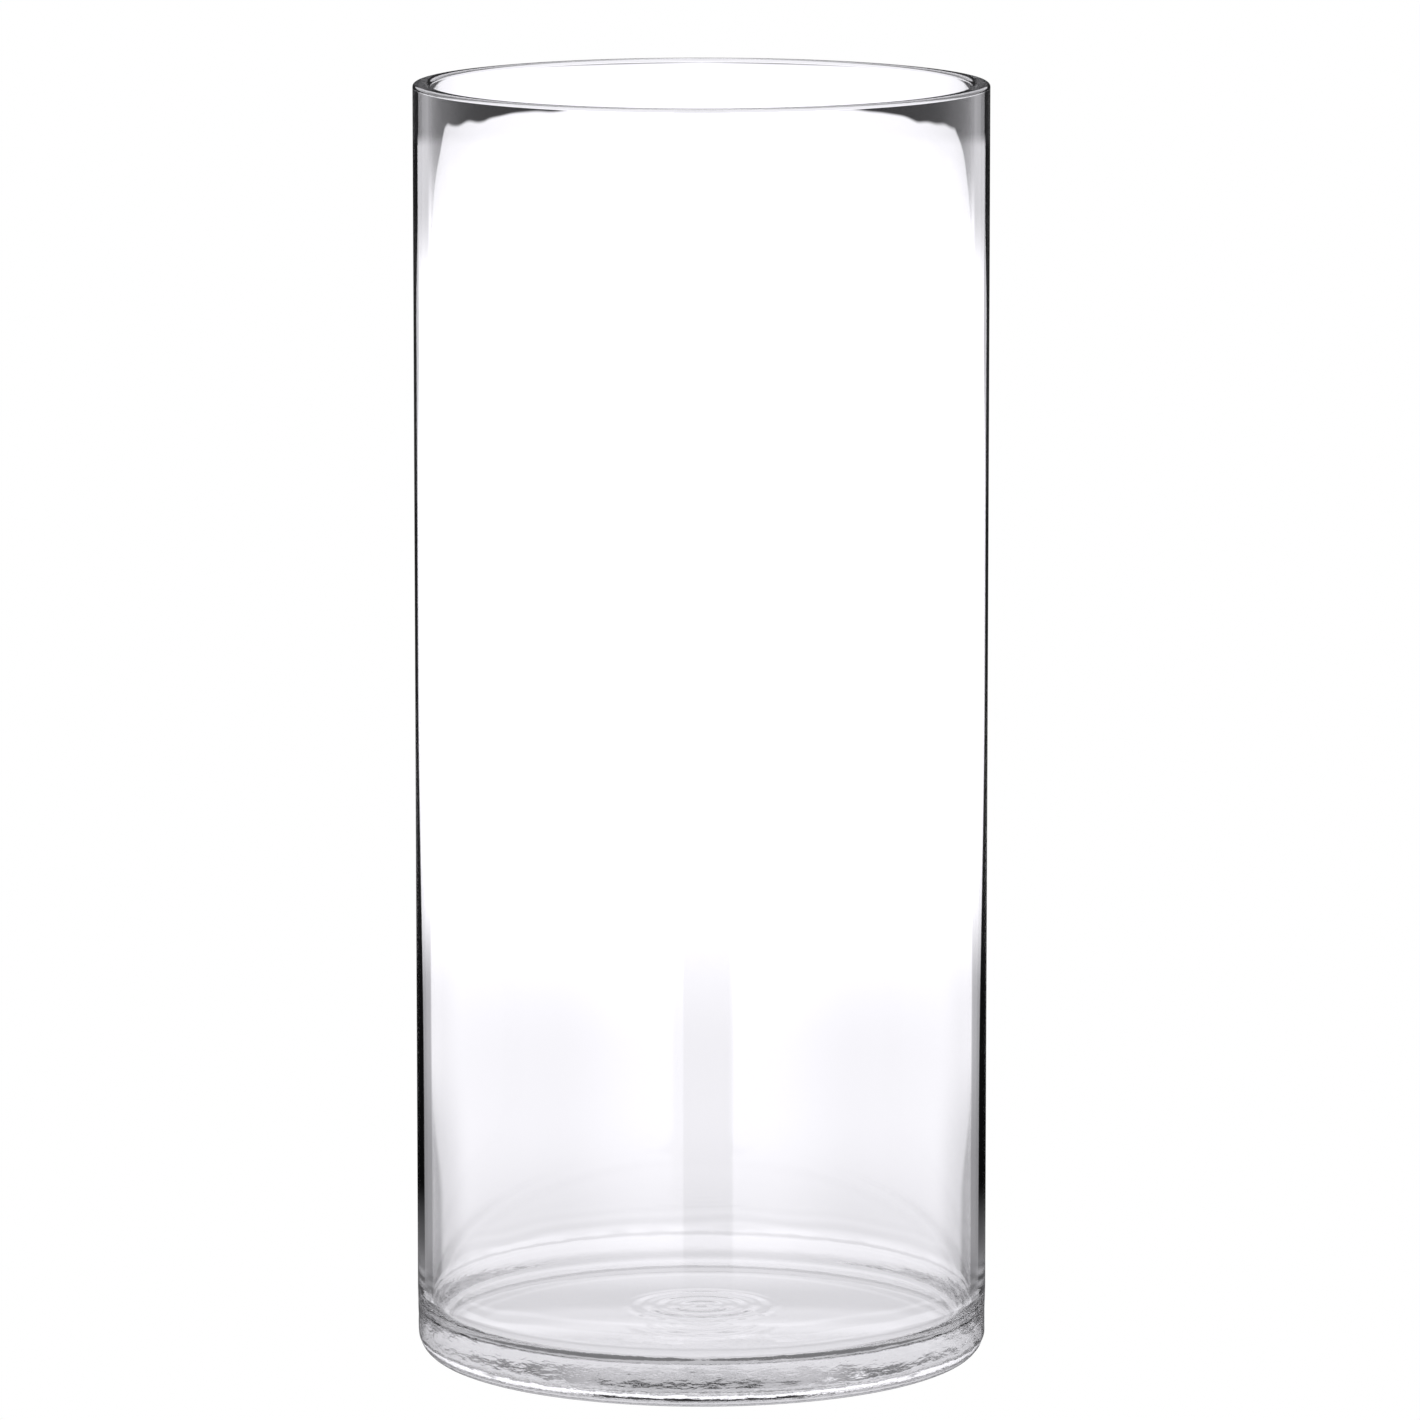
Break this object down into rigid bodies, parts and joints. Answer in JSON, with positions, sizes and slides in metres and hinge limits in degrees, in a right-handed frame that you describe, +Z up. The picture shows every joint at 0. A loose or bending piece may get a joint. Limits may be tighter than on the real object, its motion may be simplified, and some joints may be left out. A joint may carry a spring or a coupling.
{
  "type": "glass cylinder vase",
  "caption": "Tall clear glass cylinder vase with a straight wall, a polished flat rim and a thick, slightly domed base.",
  "frame": {"origin": "centre of the foot, on the surface that the vase stands on", "axes": "+Z up along the cylinder's axis, from the foot to the mouth; X and Y are any two directions across it, because the vase is round"},
  "size_m": [0.2019, 0.202, 0.452],
  "materials": {
    "clear_glass": "clear, smooth, fire-polished"
  },
  "bodies": {
    "root": {"vase_body": "clear_glass"}
  },
  "joints": []
}
